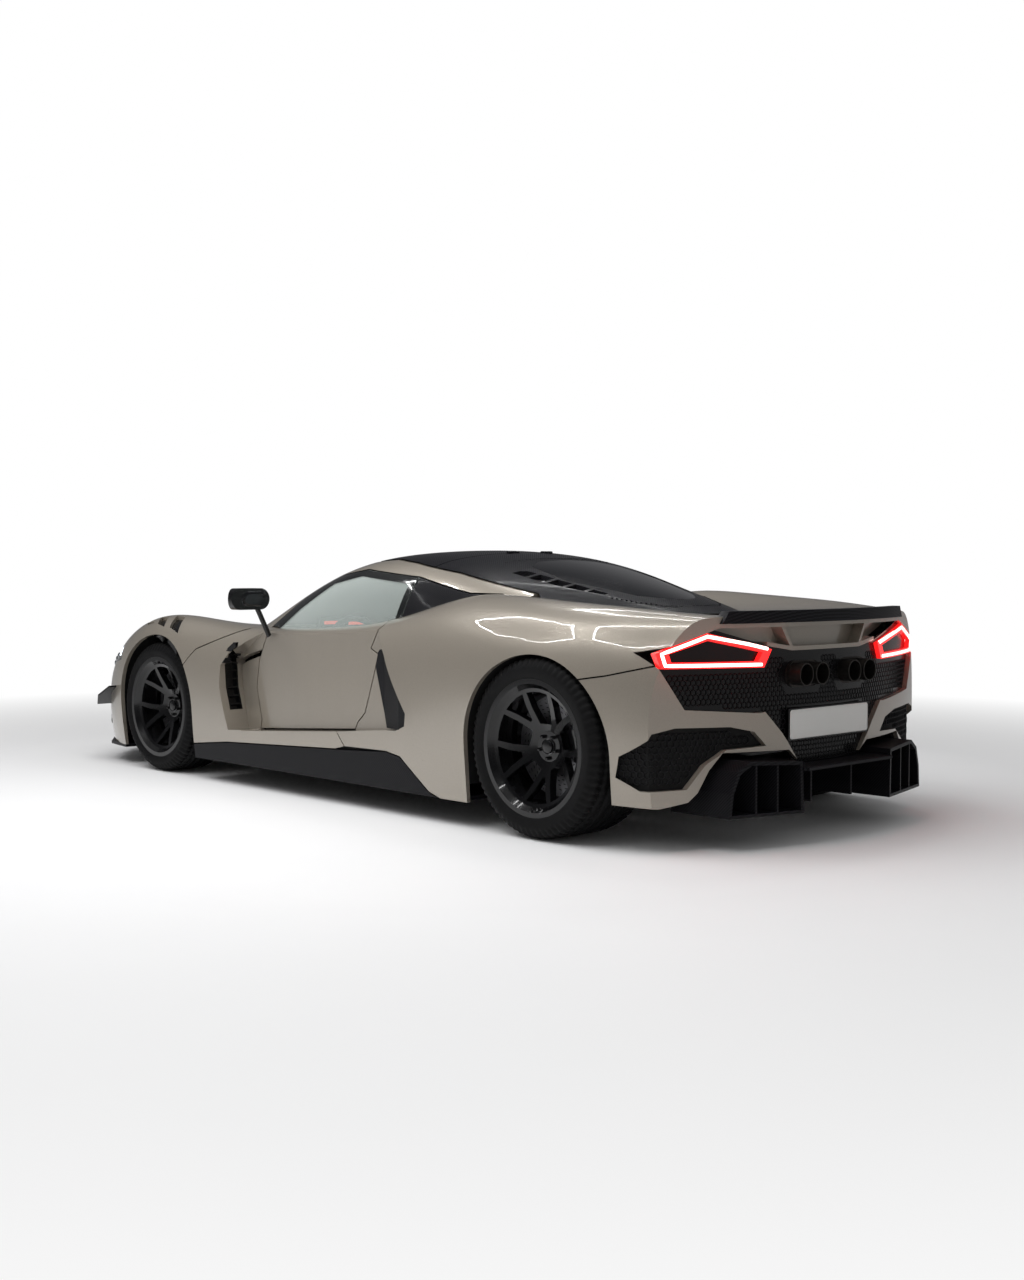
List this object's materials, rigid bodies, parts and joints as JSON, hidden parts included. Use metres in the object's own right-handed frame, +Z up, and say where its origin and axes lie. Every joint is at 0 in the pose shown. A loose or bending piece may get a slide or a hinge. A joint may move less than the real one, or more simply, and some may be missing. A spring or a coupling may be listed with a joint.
{
  "type": "hypercar",
  "caption": "Low two-seat mid-engined hypercar with butterfly doors, lifting engine cover, steering front wheels and free-turning road wheels.",
  "frame": {"origin": "under the middle of the car's length and width, on the ground", "axes": "+X forward to the nose, +Y to the car's left, +Z up; wheels turn about Y"},
  "size_m": [4.666, 2.212, 1.1332],
  "materials": {
    "paint": "metallic gloss",
    "black_trim": "gloss",
    "red_lens": "gloss lens",
    "lamp_lens": "clear",
    "liner_plastic": "textured",
    "caliper_paint": "gloss black",
    "carbon": "gloss woven carbon",
    "carbon_satin": "satin woven carbon",
    "exhaust_metal": "brushed, heat tinted",
    "screen_glass": "clear",
    "dark_glass": "dark",
    "side_glass": "clear, slightly green",
    "engine_alloy": "cast",
    "leather": "grained",
    "leather_dark": "grained",
    "chassis_alloy": "machined",
    "chassis_steel": "satin black",
    "tyre_rubber": "rubber",
    "wheel_black": "gloss black",
    "disc_iron": "machined"
  },
  "bodies": {
    "car": {"front_clamshell": "paint", "headlamps": "lamp_lens", "grilles": "black_trim", "rear_clamshell": "paint", "tail_lamps": "red_lens", "rear_bumper": "paint", "vents": "black_trim", "tail_recess": "paint", "diffuser": "carbon", "exhausts": "exhaust_metal", "tail_panel": "black_trim", "spoiler_lip": "carbon", "door_hinges": "chassis_steel", "side_fins": "carbon", "side_skirts": "carbon", "side_panels": "paint", "cabin_frame": "carbon_satin", "cantrails": "paint", "windscreen": "screen_glass", "roof": "carbon", "quarter_panels": "carbon", "canards": "carbon", "arch_liners": "liner_plastic", "floor_pan": "carbon_satin", "monocoque": "carbon_satin", "subframes": "chassis_alloy", "panel_frames": "carbon_satin", "splitter": "carbon", "engine": "engine_alloy", "seats": "leather", "dashboard": "leather_dark", "steering_column": "chassis_steel", "rear_uprights": "chassis_alloy", "calipers_rear": "caliper_paint", "suspension": "chassis_steel"},
    "door_l": {"door_left": "paint", "door_glass_left": "side_glass", "mirror_left": "black_trim"},
    "door_r": {"door_right": "paint", "door_glass_right": "side_glass", "mirror_right": "black_trim"},
    "lid": {"engine_cover": "carbon", "rear_glass": "dark_glass"},
    "steering": {"steering_wheel": "leather_dark"},
    "hub_fl": {"knuckle_fl": "chassis_alloy", "caliper_fl": "caliper_paint"},
    "hub_fr": {"knuckle_fr": "chassis_alloy", "caliper_fr": "caliper_paint"},
    "roadwheel_fl": {"tyre_fl": "tyre_rubber", "wheel_fl": "wheel_black", "disc_fl": "disc_iron"},
    "roadwheel_fr": {"tyre_fr": "tyre_rubber", "wheel_fr": "wheel_black", "disc_fr": "disc_iron"},
    "roadwheel_rl": {"tyre_rl": "tyre_rubber", "wheel_rl": "wheel_black", "disc_rl": "disc_iron"},
    "roadwheel_rr": {"tyre_rr": "tyre_rubber", "wheel_rr": "wheel_black", "disc_rr": "disc_iron"}
  },
  "joints": [
    {"name": "door_left_open", "type": "hinge", "parent": "car", "child": "door_l", "pos_m": [0.653, 0.896, 0.62], "axis": [-0.2063, 0.3094, -0.9283], "range_deg": [0, 60]},
    {"name": "door_right_open", "type": "hinge", "parent": "car", "child": "door_r", "pos_m": [0.653, -0.896, 0.62], "axis": [0.2063, 0.3094, 0.9283], "range_deg": [0, 60]},
    {"name": "engine_cover_open", "type": "hinge", "parent": "car", "child": "lid", "pos_m": [-0.526, 0, 1.12136], "axis": [0, 1, 0], "range_deg": [0, 50]},
    {"name": "steering_wheel_turn", "type": "hinge", "parent": "car", "child": "steering", "pos_m": [0.257, 0.4, 0.64], "axis": [-0.9397, 0, 0.342], "range_deg": [-360, 360]},
    {"name": "steer_left", "type": "hinge", "parent": "car", "child": "hub_fl", "pos_m": [1.277, 0.7157, 0.334], "axis": [0, 0, 1], "range_deg": [-28, 28]},
    {"name": "steer_right", "type": "hinge", "parent": "car", "child": "hub_fr", "pos_m": [1.277, -0.7157, 0.334], "axis": [0, 0, 1], "range_deg": [-28, 28]},
    {"name": "spin_fl", "type": "hinge", "parent": "hub_fl", "child": "roadwheel_fl", "pos_m": [1.277, 0.7975, 0.334], "axis": [0, 1, 0], "continuous": true},
    {"name": "spin_fr", "type": "hinge", "parent": "hub_fr", "child": "roadwheel_fr", "pos_m": [1.277, -0.7975, 0.334], "axis": [0, 1, 0], "continuous": true},
    {"name": "spin_rl", "type": "hinge", "parent": "car", "child": "roadwheel_rl", "pos_m": [-1.523, 0.7995, 0.3575], "axis": [0, 1, 0], "continuous": true},
    {"name": "spin_rr", "type": "hinge", "parent": "car", "child": "roadwheel_rr", "pos_m": [-1.523, -0.7995, 0.3575], "axis": [0, 1, 0], "continuous": true}
  ],
  "couplings": [
    {"joint": "steer_right", "follows": "steer_left", "ratio": 1}
  ]
}
